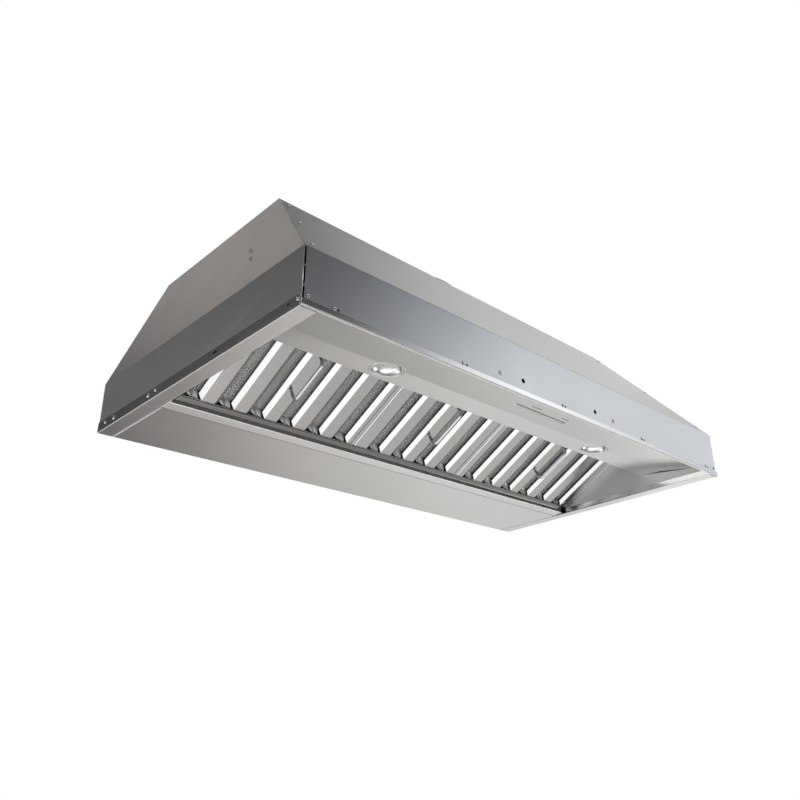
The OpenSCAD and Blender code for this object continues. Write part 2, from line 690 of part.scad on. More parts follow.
// Blower
scroll_t = 1.2;
blower_h = top_h - neck_h;
module scroll_outline(inset) {
    circle(r = scroll_r - inset);
    translate([inset - scroll_r, 0]) square([scroll_r + neck_rear - 2 * inset, neck_h - seam_gap]);
}
module at_blower() translate([0, duct_y, blower_h]) children();
module blower_scroll() color("silver") at_blower() {
    side = scroll_w / 2;
    inner = side - scroll_t;
    difference() {
        along_x(-side + 0.5, side - 0.5) scroll_outline(0);
        along_x(-inner, inner) scroll_outline(scroll_t);
        block([-inner, scroll_t - scroll_r, neck_h - 5], [inner, neck_rear - scroll_t, neck_h + 5]);
        rotate([0, 90, 0]) cylinder(r = inlet_r, h = scroll_w + 10, center = true);
    }
}
wheel_w = scroll_w - 50;
module impeller() color("lightgray") at_blower() rotate([0, 90, 0]) difference() {
    union() {
        for (z = [-wheel_w / 2, wheel_w / 2 - 2]) translate([0, 0, z]) difference() {
            cylinder(r = impeller_r, h = 2);
            translate([0, 0, -1]) cylinder(r = impeller_r - 16, h = 4);
        }
        translate([0, 0, -1]) cylinder(r = impeller_r - 1, h = 2);
        translate([0, 0, -15]) cylinder(r = 14, h = 30);
        for (i = [0:blade_count - 1]) rotate([0, 0, i * 360 / blade_count])
            translate([impeller_r - 8, 0, 0]) rotate([0, 0, 30]) cube([14, 1, wheel_w - 2], center = true);
    }
    cylinder(r = shaft_r + 0.02, h = 60, center = true);
}
bracket_t = 2;
bracket_x = scroll_w / 2 + 8;
bracket_y = scroll_r - 18;
bracket_w = 30;
motor_x = bracket_x + bracket_t;
module motor_shaft() color("silver") at_blower() translate([-20, 0, 0]) rotate([0, 90, 0])
    cylinder(r = shaft_r, h = motor_x + 40);
module motor() color("dimgray") at_blower() translate([motor_x, 0, 0]) rotate([0, 90, 0]) difference() {
    cylinder(r = motor_r, h = motor_l);
    translate([0, 0, -1]) cylinder(r = shaft_r + pin_gap, h = 26);
}
module motor_bracket() color("silver") at_blower() difference() {
    union() {
        block([bracket_x, -bracket_y, -bracket_w / 2], [motor_x, bracket_y, bracket_w / 2]);
        for (y = [-bracket_y, bracket_y - 4])
            block([scroll_w / 2 - 0.5, y, -bracket_w / 2], [bracket_x, y + 4, bracket_w / 2]);
    }
    rotate([0, 90, 0]) cylinder(r = 2 * shaft_r + 2, h = motor_x + 5);
}

// Duct collar and damper
at_duct_z = top_h + damper_h;
module duct_collar() color("silver") translate([0, duct_y, top_h]) difference() {
    rotate_extrude($fn = 128) polygon([[collar_in, 0], [collar_r + collar_flange_w, 0],
        [collar_r + collar_flange_w, sheet_t], [collar_r, sheet_t], [collar_r, collar_h],
        [collar_in, collar_h]]);
    translate([0, 0, damper_h]) rotate([0, 90, 0])
        cylinder(r = damper_pin_r + 0.02, h = 3 * collar_r, center = true);
    translate([0, -duct_y, -top_h]) at_collar_screws() screw_hole();
}
collar_screw_r = collar_r + collar_flange_w / 2;
module at_collar_screws() for (a = [30:60:330])
    translate([collar_screw_r * cos(a), duct_y + collar_screw_r * sin(a), top_h + sheet_t]) children();
module damper_pin() color("gray") translate([0, duct_y, at_duct_z]) rotate([0, 90, 0])
    cylinder(r = damper_pin_r, h = 2 * collar_r - 1, center = true);
knuckle_r = damper_pin_r + 1;
knuckle_l = 26;
knuckle_gap = 14;
// A flap that reaches from the pin to the front, with its knuckles at the given places
module flap(places) color("lightgray") translate([0, duct_y, at_duct_z]) difference() {
    union() {
        intersection() {
            translate([0, 0, -flap_t / 2]) cylinder(r = collar_in - flap_gap, h = flap_t, $fn = 128);
            block([-collar_r, -collar_r, -5], [collar_r, -knuckle_r - 0.4, 5]);
        }
        for (x = places) {
            translate([x, 0, 0]) rotate([0, 90, 0]) cylinder(r = knuckle_r, h = knuckle_l);
            block([x, -knuckle_r - 1, -flap_t / 2], [x + knuckle_l, 0, flap_t / 2]);
        }
    }
    rotate([0, 90, 0]) cylinder(r = damper_pin_r + pin_gap, h = 2 * collar_r, center = true);
}
knuckle_step = knuckle_l + knuckle_gap;
first_knuckle = -2 * knuckle_step - knuckle_l / 2 + 3;
module front_flap() flap([first_knuckle, first_knuckle + 3 * knuckle_step - 10]);
module rear_flap() translate([0, 2 * duct_y, 0]) mirror([0, 1, 0])
    flap([first_knuckle + knuckle_step, first_knuckle + 4 * knuckle_step - 10]);

// Wiring
module at_wiring() translate([box_side - top_x, half_d - box_back, top_h]) children();
box_floor = -sheet_t - box_h;
module wiring_box() color("lightgray") at_wiring() difference() {
    block([-box_l / 2, -box_d / 2, box_floor], [box_l / 2, box_d / 2, -sheet_t]);
    block([box_t - box_l / 2, box_t - box_d / 2, box_floor - 1],
          [box_l / 2 - box_t, box_d / 2 - box_t, -sheet_t - box_t]);
    clamp_hole();
}
module wiring_cover() color("gray") at_wiring()
    block([-box_l / 2, -box_d / 2, box_floor - box_t], [box_l / 2, box_d / 2, box_floor]);
clamp_neck_r = 10.8;
clamp_nut_r = 15;
clamp_cap_h = 8;
clamp_nut_h = 5;
module clamp_hole() cylinder(r = clamp_neck_r + 0.2, h = 20, center = true);
module cable_clamp() color("dimgray") at_wiring() difference() {
    nut_top = -sheet_t - box_t;
    union() {
        cylinder(r = clamp_nut_r, h = clamp_cap_h);
        translate([0, 0, nut_top - 1]) cylinder(r = clamp_neck_r, h = 2 - nut_top);
        translate([0, 0, nut_top - clamp_nut_h]) cylinder(r = clamp_nut_r, h = clamp_nut_h);
    }
    cylinder(r = clamp_r, h = 60, center = true);
}

// Fasteners
module hip_screws() color("gray") at_hip_screws() screw();
module face_screws() color("gray") at_band_screws() screw();
module rail_screws() color("gray") for (side = [0, 1]) mirror([side, 0, 0]) at_side_screws() screw();
module top_screws() color("gray") at_collar_screws() screw();

front_panel();
left_panel();
right_panel();
back_panel();
top_panel();
front_rail();
left_rail();
right_rail();
rail_clip_nuts();
light_panel();
left_inner_wall();
right_inner_wall();
filter_track();
filter_retainer();
stop_strips();
rear_cover();
left_filter_frame();
left_filter_front_baffles();
left_filter_back_baffles();
left_filter_handle();
middle_filter_frame();
middle_filter_front_baffles();
middle_filter_back_baffles();
middle_filter_handle();
right_filter_frame();
right_filter_front_baffles();
right_filter_back_baffles();
right_filter_handle();
left_lamp_cup();
right_lamp_cup();
left_reflector();
right_reflector();
left_lens();
right_lens();
lamp_modules();
lamp_driver();
control_housing();
control_board();
fan_bar();
light_bar();
fan_spring();
light_spring();
indicator_lights();
blower_scroll();
impeller();
motor();
motor_shaft();
motor_bracket();
duct_collar();
damper_pin();
front_flap();
rear_flap();
wiring_box();
wiring_cover();
cable_clamp();
hip_screws();
face_screws();
rail_screws();
top_screws();
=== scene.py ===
import json
import math

import bmesh
import bpy
from mathutils import Matrix, Vector


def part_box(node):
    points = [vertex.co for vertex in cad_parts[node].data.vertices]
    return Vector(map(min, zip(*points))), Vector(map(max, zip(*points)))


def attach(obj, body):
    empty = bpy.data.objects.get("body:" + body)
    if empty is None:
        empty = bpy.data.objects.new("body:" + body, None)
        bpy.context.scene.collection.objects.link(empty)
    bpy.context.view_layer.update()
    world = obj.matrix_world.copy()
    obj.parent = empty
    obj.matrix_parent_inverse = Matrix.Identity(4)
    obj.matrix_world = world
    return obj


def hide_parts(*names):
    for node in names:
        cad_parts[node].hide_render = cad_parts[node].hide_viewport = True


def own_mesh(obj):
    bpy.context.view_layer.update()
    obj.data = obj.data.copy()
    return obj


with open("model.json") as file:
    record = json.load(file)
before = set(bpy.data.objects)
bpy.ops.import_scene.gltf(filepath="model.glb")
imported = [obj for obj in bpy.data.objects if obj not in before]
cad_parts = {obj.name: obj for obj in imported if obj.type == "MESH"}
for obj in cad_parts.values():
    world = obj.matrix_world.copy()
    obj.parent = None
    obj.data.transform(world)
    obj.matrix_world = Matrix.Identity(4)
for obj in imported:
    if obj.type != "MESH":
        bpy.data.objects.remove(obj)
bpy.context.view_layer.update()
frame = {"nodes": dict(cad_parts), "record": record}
scene = bpy.context.scene
mm = 0.001
weldReach = 0.005 * mm  # points closer than this are one
rimReach = 0.2 * mm  # how far the points of one end of a small solid may lie from its tip
bodyOf = {node: body for body, nodes in frame["record"]["behaviour"]["bodies"].items() for node in nodes}
print("frame loaded:", len(frame["nodes"]), "nodes")


# Shader tools
class Signal:  # one socket of a node tree, used in plain arithmetic
    def __init__(self, tree, socket):
        self.tree = tree
        self.socket = socket

    def maths(self, operation, first, second):
        made = self.tree.nodes.new("ShaderNodeMath")
        made.operation = operation
        for place, item in zip(made.inputs, (first, second)):
            connect(self.tree, place, item)
        return Signal(self.tree, made.outputs[0])

    def __add__(self, other):
        return self.maths("ADD", self, other)

    def __sub__(self, other):
        return self.maths("SUBTRACT", self, other)

    def __mul__(self, other):
        return self.maths("MULTIPLY", self, other)

    def __truediv__(self, other):
        return self.maths("DIVIDE", self, other)

    __radd__ = __add__


def connect(tree, place, item):
    if isinstance(item, Signal):
        tree.links.new(item.socket, place)
    elif hasattr(item, "__len__") and len(item) == 3 and place.type == "RGBA":
        place.default_value = (*item, 1)
    else:
        place.default_value = item


class Finish:  # a material or world under construction
    def __init__(self, holder):
        self.holder = holder
        holder.use_nodes = True
        self.tree = holder.node_tree
        self.tree.nodes.clear()

    def node(self, kind, settings=None, values=None, out=0):
        made = self.tree.nodes.new("ShaderNode" + kind)
        for key, item in (settings or {}).items():
            setattr(made, key, item)
        for key, item in (values or {}).items():
            connect(self.tree, made.inputs[key], item)
        return Signal(self.tree, made.outputs[out])

    def place(self, scale):  # the piece's own coordinates, stretched per axis
        here = self.node("TexCoord", out="Object")
        return self.node("Mapping", {"vector_type": "POINT"}, {"Vector": here, "Scale": scale})

    def noise(self, scale, detail=3.0, rough=0.5):
        if not hasattr(scale, "__len__"):
            scale = (scale, scale, scale)
        return self.node("TexNoise", None, {"Vector": self.place(scale), "Scale": 1.0, "Detail": detail,
                                            "Roughness": rough})

    def mix(self, factor, first, second):
        return self.node("Mix", {"data_type": "RGBA"}, {0: factor, 6: first, 7: second}, out=2)

    def ramp(self, factor, low, high):
        return self.node("MapRange", {"interpolation_type": "SMOOTHSTEP"},
                         {"Value": factor, "From Min": low, "From Max": high})

    def bump(self, height, strength, distance):
        return self.node("Bump", None, {"Height": height, "Strength": strength, "Distance": distance})

    def surface(self, shader, target="OutputMaterial"):
        end = self.tree.nodes.new("ShaderNode" + target)
        self.tree.links.new(shader.socket, end.inputs["Surface"])
        return self.holder


steelLook = {"along": 3.0, "streaks": 900.0, "fineStreaks": 2600.0, "clouds": 7.0, "cells": 90.0,
             "swells": 3.2, "streakTone": 0.04, "stain": 0.06, "toneRange": 0.2, "grain": 0.12 * mm,
             "swell": 4.0 * mm}


def grainScale(axis, fine):  # fine streaks across the brushing, long ones along it
    return tuple(steelLook["along"] if name == axis else fine for name in "xyz")


def steelFinish(name, colour, rough, grain, grainDepth, smudge=0.05, wave=0.0, metal=1.0, spangle=0.0):
    look = steelLook
    steel = Finish(bpy.data.materials.new(name))
    streaks = steel.noise(grainScale(grain, look["streaks"]), 2.0, 0.6)
    fineStreaks = steel.noise(grainScale(grain, look["fineStreaks"]), 1.0, 0.5)
    clouds = steel.noise(look["clouds"], 4.0, 0.55)
    grainHeight = streaks * 0.6 + fineStreaks * 0.4
    tone = 1.0 + (streaks - 0.5) * look["streakTone"] + (clouds - 0.5) * look["stain"]
    reach = look["toneRange"]
    dark = tuple(level * (1 - reach) for level in colour)
    bright = tuple(min(1.0, level * (1 + reach)) for level in colour)
    base = steel.mix((tone - (1 - reach)) / (2 * reach), dark, bright)
    roughness = rough + (clouds - 0.5) * smudge * 2.0 + (streaks - 0.5) * look["streakTone"]
    normal = steel.bump(grainHeight, grainDepth, look["grain"])
    if spangle:
        cells = steel.node("TexVoronoi", {"feature": "F1"}, {"Vector": steel.place((look["cells"],) * 3),
                                                              "Scale": 1.0}, out="Color")
        cellTone = steel.node("SeparateColor", None, {"Color": cells})
        base = steel.mix((cellTone - 0.5) * spangle + 0.5, dark, bright)
        roughness = roughness + (cellTone - 0.5) * spangle * 0.3
    if wave:
        swell = steel.noise(look["swells"], 1.0, 0.4)
        normal = steel.node("Bump", None, {"Height": swell, "Strength": wave, "Distance": look["swell"],
                                           "Normal": normal})
    shader = steel.node("BsdfPrincipled", None, {"Base Color": base, "Metallic": metal,
                                                 "Roughness": roughness, "Normal": normal})
    return steel.surface(shader)


plainLook = {"grains": 900.0, "patches": 30.0, "dark": 0.85, "bright": 1.1, "uneven": 0.12, "deep": 0.2 * mm}


def plainFinish(name, colour, rough, metal=0.0, grit=0.1, coat=0.0, extra=None):
    look = plainLook
    plain = Finish(bpy.data.materials.new(name))
    grains = plain.noise(look["grains"], 3.0, 0.6)
    patches = plain.noise(look["patches"], 3.0, 0.5)
    dark = tuple(level * look["dark"] for level in colour)
    bright = tuple(min(1.0, level * look["bright"]) for level in colour)
    values = {"Base Color": plain.mix(patches, dark, bright), "Metallic": metal,
              "Roughness": rough + (patches - 0.5) * look["uneven"], "Coat Weight": coat,
              "Normal": plain.bump(grains, grit, look["deep"])}
    values.update(extra or {})
    return plain.surface(plain.node("BsdfPrincipled", None, values))


dotLook = {"uneven": 0.3, "inner": 0.28, "outer": 0.46, "clouds": 12.0, "cloudShare": 0.15, "deep": 0.4 * mm}


def dottedFinish(name, dark, bright, rough, pitch, metal):  # the fine pressed pattern of the inner baffles
    look = dotLook
    dotted = Finish(bpy.data.materials.new(name))
    here = dotted.node("TexCoord", out="Object")
    flat = dotted.node("Mapping", {"vector_type": "POINT"}, {
        "Vector": here, "Rotation": (filterSlope, 0.0, 0.0), "Scale": (1 / pitch,) * 3})
    cells = dotted.node("TexVoronoi", {"feature": "F1", "voronoi_dimensions": "2D"},
                        {"Vector": flat, "Scale": 1.0, "Randomness": look["uneven"]}, out="Distance")
    rise = dotted.ramp(cells, look["inner"], look["outer"])
    patches = dotted.noise(look["clouds"], 2.0, 0.5)
    share = look["cloudShare"]
    base = dotted.mix(rise * (1 - share) + patches * share, bright, dark)
    shader = dotted.node("BsdfPrincipled", None, {
        "Base Color": base, "Metallic": metal, "Roughness": rough + rise * 0.1,
        "Normal": dotted.bump(cells, 0.5, look["deep"])})
    return dotted.surface(shader)


filterSlope = math.atan2(100.0, 184.1)  # rise and run of the filters' plane in mm
dottedPitch = 3.3 * mm
finishes = {
    # steelFinish: name, colour, roughness, direction and depth of the grain
    # plainFinish: name, colour, roughness
    # dottedFinish: name, colour of the ground and of the dots, roughness, pitch, share of metal
    "bandSteel": steelFinish("bandSteel", (0.66, 0.67, 0.68), 0.3, "x", 0.015, wave=0.10),
    "sideSteel": steelFinish("sideSteel", (0.66, 0.65, 0.64), 0.38, "y", 0.1, wave=0.08),
    "railSteel": steelFinish("railSteel", (0.70, 0.69, 0.685), 0.17, "x", 0.08),
    "sideRailSteel": steelFinish("sideRailSteel", (0.70, 0.69, 0.68), 0.2, "y", 0.1),
    "panelSteel": steelFinish("panelSteel", (0.67, 0.665, 0.655), 0.33, "x", 0.1, wave=0.05),
    "wallSteel": steelFinish("wallSteel", (0.66, 0.65, 0.64), 0.56, "y", 0.03, 0.03),
    "coverSteel": steelFinish("coverSteel", (0.66, 0.655, 0.645), 0.34, "x", 0.1, wave=0.05),
    "baffleSteel": steelFinish("baffleSteel", (0.70, 0.70, 0.695), 0.27, "y", 0.05),
    "backSteel": dottedFinish("backSteel", (0.08, 0.08, 0.08), (0.85, 0.85, 0.845), 0.6, dottedPitch, 0.5),
    # dark dotted copy for the baffle flanks that face +X: painted shade, with the pressed dot pattern
    "flankShadeDots": dottedFinish("flankShadeDots", (0.06, 0.06, 0.06), (0.66, 0.66, 0.655), 0.6,
                               dottedPitch, 0.5),
    # slightly darker copy of the baffle steel for the flanks that face -X: painted shade
    "shadedFlankSteel": steelFinish("shadedFlankSteel", (0.6, 0.6, 0.595), 0.32, "y", 0.1, 0.04),
    # near-white copy of the steel for the rails' bends: a painted highlight
    "bendHighlightSteel": steelFinish("bendHighlightSteel", (0.95, 0.95, 0.95), 0.5, "x", 0.03, 0.02, metal=0.6),
    # dark copy of the track steel for its front-facing faces: painted shade in the groove
    "grooveShadeSteel": steelFinish("grooveShadeSteel", (0.34, 0.33, 0.32), 0.3, "x", 0.6, 0.05),
    "trackSteel": steelFinish("trackSteel", (0.72, 0.71, 0.7), 0.38, "x", 0.2),
    # black for painted shade and painted shadows: screw recesses and rings, holes, slot gaps, seams
    "paintedShadeBlack": plainFinish("paintedShadeBlack", (0.02, 0.02, 0.02), 0.8),
    # near-white copy of the steel: a painted highlight on bends
    "paintedHighlightSteel": steelFinish("paintedHighlightSteel", (0.95, 0.95, 0.94), 0.5, "y", 0.03, 0.02),
    "cutSteel": plainFinish("cutSteel", (0.16, 0.16, 0.16), 0.5, metal=0.9),
    "galvanised": steelFinish("galvanised", (0.58, 0.6, 0.62), 0.42, "y", 0.1, spangle=0.8),
    "wireChrome": steelFinish("wireChrome", (0.5, 0.5, 0.5), 0.13, "y", 0.03, 0.02),
    # dark copy of the steel for the drain tabs: painted shade
    "tabShadeSteel": steelFinish("tabShadeSteel", (0.26, 0.26, 0.26), 0.34, "x", 0.1),
    "rimSteel": steelFinish("rimSteel", (0.76, 0.76, 0.75), 0.36, "x", 0.05),
    "smokedPlastic": plainFinish("smokedPlastic", (0.01, 0.01, 0.01), 0.9,
                                 extra={"Specular IOR Level": 0.1}),
    "screwSteel": steelFinish("screwSteel", (0.72, 0.72, 0.73), 0.2, "y", 0.05),
    "dishSteel": steelFinish("dishSteel", (0.66, 0.66, 0.65), 0.26, "y", 0.03, 0.02),
    "blackPlastic": plainFinish("blackPlastic", (0.03, 0.03, 0.032), 0.42),
    "whitePlastic": plainFinish("whitePlastic", (0.8, 0.8, 0.78), 0.4),
    "boardCoat": plainFinish("boardCoat", (0.03, 0.16, 0.07), 0.3, coat=0.4),
    "motorPaint": plainFinish("motorPaint", (0.06, 0.06, 0.065), 0.38, coat=0.2),
    "lensGlass": plainFinish("lensGlass", (0.9, 0.89, 0.85), 0.12, coat=0.6, grit=0.03),
}
print("finishes made:", len(finishes))

finishOf = {
    "bandSteel": ["front_panel", "back_panel", "top_panel"],
    "sideSteel": ["left_panel", "right_panel"],
    "railSteel": ["front_rail"],
    "sideRailSteel": ["left_rail", "right_rail"],
    "panelSteel": ["light_panel", "fan_bar", "light_bar", "filter_track", "left_lamp_cup",
                   "right_lamp_cup"],
    "rimSteel": ["stop_strips"],
    "wallSteel": ["left_inner_wall", "right_inner_wall"],
    "coverSteel": ["rear_cover"],
    "baffleSteel": ["left_filter_frame", "middle_filter_frame", "right_filter_frame",
                    "left_filter_front_baffles", "middle_filter_front_baffles",
                    "right_filter_front_baffles"],
    "backSteel": ["left_filter_back_baffles", "middle_filter_back_baffles", "right_filter_back_baffles"],
    "galvanised": ["filter_retainer", "blower_scroll", "impeller", "motor_bracket", "duct_collar",
                   "front_flap", "rear_flap", "wiring_box", "wiring_cover", "rail_clip_nuts"],
    "wireChrome": ["left_filter_handle", "middle_filter_handle", "right_filter_handle"],
    "screwSteel": ["hip_screws", "face_screws", "rail_screws", "top_screws", "motor_shaft", "damper_pin",
                   "fan_spring", "light_spring"],
    "dishSteel": ["left_reflector", "right_reflector", "lamp_modules"],
    "lensGlass": ["left_lens", "right_lens"],
    "blackPlastic": ["control_housing", "cable_clamp"],
    "whitePlastic": ["lamp_driver"],
    "smokedPlastic": ["indicator_lights"],
    "boardCoat": ["control_board"],
    "motorPaint": ["motor"],
}


def paint(thing, finish):
    if not thing.data.materials:
        thing.data.materials.append(None)
    for place in thing.material_slots:
        place.material = finishes[finish]


for finish, nodes in finishOf.items():
    for node in nodes:
        paint(frame["nodes"][node], finish)
print("nodes painted")


# Meshes: CAD sheets with their bends and rims rounded
def looseIslands(node):  # the separate solids of a CAD node, each as a list of points
    work = bmesh.new()
    work.from_mesh(frame["nodes"][node].data)
    bmesh.ops.remove_doubles(work, verts=work.verts, dist=weldReach)
    left = set(work.verts)
    islands = []
    while left:
        start = left.pop()
        group, queue = [start], [start]
        while queue:
            for edge in queue.pop().link_edges:
                for vert in edge.verts:
                    if vert in left:
                        left.discard(vert)
                        group.append(vert)
                        queue.append(vert)
        islands.append([vert.co.copy() for vert in group])
    work.free()
    return sorted(islands, key=lambda points: (round(centreOf(points).x, 4), centreOf(points).y))


def centreOf(points):
    low = Vector([min(point[i] for point in points) for i in range(3)])
    high = Vector([max(point[i] for point in points) for i in range(3)])
    return (low + high) / 2


def newPiece(name, work, body, finish, nodes=(), smooth=True):
    mesh = bpy.data.meshes.new(name)
    work.to_mesh(mesh)
    work.free()
    for face in mesh.polygons:
        face.use_smooth = smooth
    piece = bpy.data.objects.new(name, mesh)
    scene.collection.objects.link(piece)
    mesh.materials.append(finishes[finish])
    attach(piece, body)
    if nodes:
        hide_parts(*nodes)
    return piece


def keepFlat(piece):  # flat faces shade flat beside their rounded edges
    level = piece.modifiers.new("flatShading", "WEIGHTED_NORMAL")
    level.keep_sharp = True


outOfFilter = Vector((0, -math.sin(filterSlope), -math.cos(filterSlope)))
# angles in degrees: flat joins vanish, creases stay crisp lines and sharper edges are bevelled
sheetPlan = {"flat": 3.0, "panelFlat": 0.6, "crisp": 14.0, "smooth": 1.5, "cutTurn": 45.8,
             "cutWide": 1.4 * mm, "creaseLong": 100 * mm, "hole": 5 * mm, "bendLong": 20 * mm,
             "bendWide": 3 * mm, "segments": 3}
# least share of a unit normal along a direction, for a face to count as turned that way
facingShare = {"flank": 0.3, "below": 0.9, "front": 0.4}
# the other finishes of a sheet, by material index
sheetIndex = {"cutSteel": 1, "flankShadeDots": 2, "shadedFlankSteel": 3, "panelSteel": 4, "grooveShadeSteel": 5,
              "bendHighlightSteel": 6}


def turnOf(edge):
    return math.degrees(edge.calc_face_angle(0)) if len(edge.link_faces) == 2 else 0


def finishOfFace(node, face):
    sides = sorted(face.edges, key=lambda edge: edge.calc_length())[-2:]
    width = face.calc_area() / sides[1].calc_length()
    turned = min(turnOf(edge) for edge in sides)
    normal = face.normal
    narrow = width < sheetPlan["cutWide"] and turned > sheetPlan["cutTurn"]
    if narrow and not node.endswith(("_rail", "_panel")):
        return "cutSteel"  # a sheet's cut edge
    # the baffle flanks get copies of the steel by the way they face: painted shade
    if node.endswith("front_baffles") and min(abs(normal.x), normal.dot(outOfFilter)) > facingShare["flank"]:
        return "flankShadeDots" if normal.x > 0 else "shadedFlankSteel"
    if node in ("front_rail", "left_rail", "right_rail") and -normal.z > facingShare["below"]:
        return "panelSteel"
    # faces of the track that face the front get the dark copy: painted shade
    if node == "filter_track" and -normal.y > facingShare["front"]:
        return "grooveShadeSteel"
    return None


def roundedSheet(node, finish, bend, rim):
    plan = sheetPlan
    work = bmesh.new()
    work.from_mesh(frame["nodes"][node].data)
    bmesh.ops.remove_doubles(work, verts=work.verts, dist=weldReach)
    flat = math.radians(plan["panelFlat" if node == "light_panel" else "flat"])
    bmesh.ops.dissolve_limit(work, angle_limit=flat, verts=work.verts, edges=work.edges)
    for face in work.faces:
        face.material_index = sheetIndex.get(finishOfFace(node, face), 0)
    weight = work.edges.layers.float.new("bevel_weight_edge")
    for edge in work.edges:
        turn = turnOf(edge)
        if turn < plan["crisp"]:
            edge.smooth = turn < plan["smooth"] or edge.calc_length() < plan["creaseLong"]
            continue
        edge.smooth = False
        span = max(edge.calc_length(), 0.0001)
        widths = [face.calc_area() / span for face in edge.link_faces]
        if span > plan["hole"]:  # the rims of small holes stay as they are
            wide = min(widths) > plan["bendWide"] and span > plan["bendLong"]
            edge[weight] = 1.0 if wide else rim / bend
            edge.smooth = True
    piece = newPiece(node + "Rounded", work, bodyOf[node], finish, (node,))
    for other in sheetIndex:
        piece.data.materials.append(finishes[other])
    bevel = piece.modifiers.new("bend", "BEVEL")
    # the rails' bends get the near-white copy of the steel: a painted highlight
    if node.endswith("_rail"):
        bevel.material = sheetIndex["bendHighlightSteel"]
    bevel.limit_method = "WEIGHT"
    bevel.width = bend * mm
    bevel.segments = plan["segments"]
    bevel.use_clamp_overlap = False
    keepFlat(piece)


roundedSheets = {
    # node: finish, bend radius, rim radius in mm
    "front_panel": ("bandSteel", 1.8, 0.25),
    "left_panel": ("sideSteel", 0.4, 0.2),
    "right_panel": ("sideSteel", 0.4, 0.2),
    "left_inner_wall": ("wallSteel", 0.8, 0.2),
    "right_inner_wall": ("wallSteel", 0.8, 0.2),
    "back_panel": ("bandSteel", 1.0, 0.25),
    "front_rail": ("railSteel", 1.9, 0.3),
    "left_rail": ("sideRailSteel", 1.9, 0.3),
    "right_rail": ("sideRailSteel", 1.9, 0.3),
    "light_panel": ("panelSteel", 1.0, 0.25),
    "rear_cover": ("coverSteel", 1.0, 0.25),
    "filter_track": ("trackSteel", 1.6, 0.3),
    "stop_strips": ("rimSteel", 0.8, 0.25),
    "wiring_box": ("galvanised", 0.8, 0.2),
}
for side in ("left", "middle", "right"):
    roundedSheets[side + "_filter_frame"] = ("baffleSteel", 1.8, 0.3)
    roundedSheets[side + "_filter_front_baffles"] = ("baffleSteel", 0.7, 0.2)
    roundedSheets[side + "_filter_back_baffles"] = ("backSteel", 0.7, 0.2)
for node, (finish, bend, rim) in roundedSheets.items():
    roundedSheet(node, finish, bend, rim)
print("sheets rounded:", len(roundedSheets))


# Round pieces
def spin(work, profile, base, segments):  # turns (radius, height) points in mm round the base's third axis
    rings = []
    for radius, height in profile:
        if radius == 0:
            rings.append([work.verts.new(base @ Vector((0, 0, height * mm)))])
            continue
        angles = [2 * math.pi * k / segments for k in range(segments)]
        rings.append([work.verts.new(base @ Vector((radius * mm * math.cos(a), radius * mm * math.sin(a),
                                                    height * mm))) for a in angles])
    for first, second in zip(rings, rings[1:]):
        for k in range(segments):
            after = (k + 1) % segments
            corners = [first[k % len(first)], first[after % len(first)],
                       second[after % len(second)], second[k % len(second)]]
            corners = list(dict.fromkeys(corners))
            if len(corners) > 2:
                work.faces.new(corners)


def standOn(point, axis, turn=0.0):  # a frame at a point with its third axis along axis
    aimed = axis.to_track_quat("Z", "Y").to_matrix().to_4x4()
    return Matrix.Translation(point) @ aimed @ Matrix.Rotation(turn, 4, "Z")


def fillGrid(work, grid):
    for row, after in zip(grid, grid[1:]):
        for u in range(len(row) - 1):
            work.faces.new((row[u], row[u + 1], after[u + 1], after[u]))


def addShadeDisc(work, radius, height, base, segments):  # a black disc of painted shade, in the second material of the piece
    count = len(work.faces)
    spin(work, [(radius, height), (0, height)], base, segments)
    work.faces.ensure_lookup_table()
    for face in work.faces[count:]:
        face.material_index = 1


frontLean = math.atan2(232, 209.5)  # rise and run of the front slope in mm
screwHead = {"radius": 2.9, "height": 1.2, "well": 1.4, "wellDepth": 0.8, "crown": 0.35, "shadow": 3.7,
             "wellShadeHigh": 0.5, "shadowHigh": 0.06, "segments": 28}
screwAxes = {
    "face_screws": lambda centre: Vector((0, -1, 0)),
    "hip_screws": lambda centre: Vector((0, -math.sin(frontLean), math.cos(frontLean))),
    "rail_screws": lambda centre: Vector((math.copysign(1, centre.x), 0, 0)),
    "top_screws": lambda centre: Vector((0, 0, 1)),
}


def makeScrews(node, axisAt):
    head = screwHead
    top = head["height"]
    # up the side, over the rounded edge, then down into the recess
    profile = [(head["radius"], -0.1), (head["radius"], top - 0.55), (head["radius"] - 0.25, top - 0.2),
               (head["radius"] - 0.7, top - 0.03), (head["well"] + head["crown"], top),
               (head["well"], top - 0.15), (head["well"] - 0.1, top - head["wellDepth"]),
               (0, top - head["wellDepth"])]
    work = bmesh.new()
    for points in looseIslands(node):
        axis = axisAt(centreOf(points))
        reach = max(point.dot(axis) for point in points)
        crown = [point for point in points if point.dot(axis) > reach - rimReach]
        middle = centreOf(crown)
        base = standOn(middle - axis * top * mm, axis)
        spin(work, profile, base, head["segments"])
        # black discs: painted shade in the head's recess and a painted shadow ring round the head
        addShadeDisc(work, head["well"] - 0.1, head["wellShadeHigh"], base, head["segments"])
        addShadeDisc(work, head["shadow"], head["shadowHigh"], base, head["segments"])
    piece = newPiece(node + "Heads", work, bodyOf[node], "screwSteel", (node,))
    piece.data.materials.append(finishes["paintedShadeBlack"])


for node, axisAt in screwAxes.items():
    makeScrews(node, axisAt)


bandHoles = {"first": -456.0, "step": 233.5, "count": 5, "height": 12.9, "radius": 2.1, "inside": 0.15}


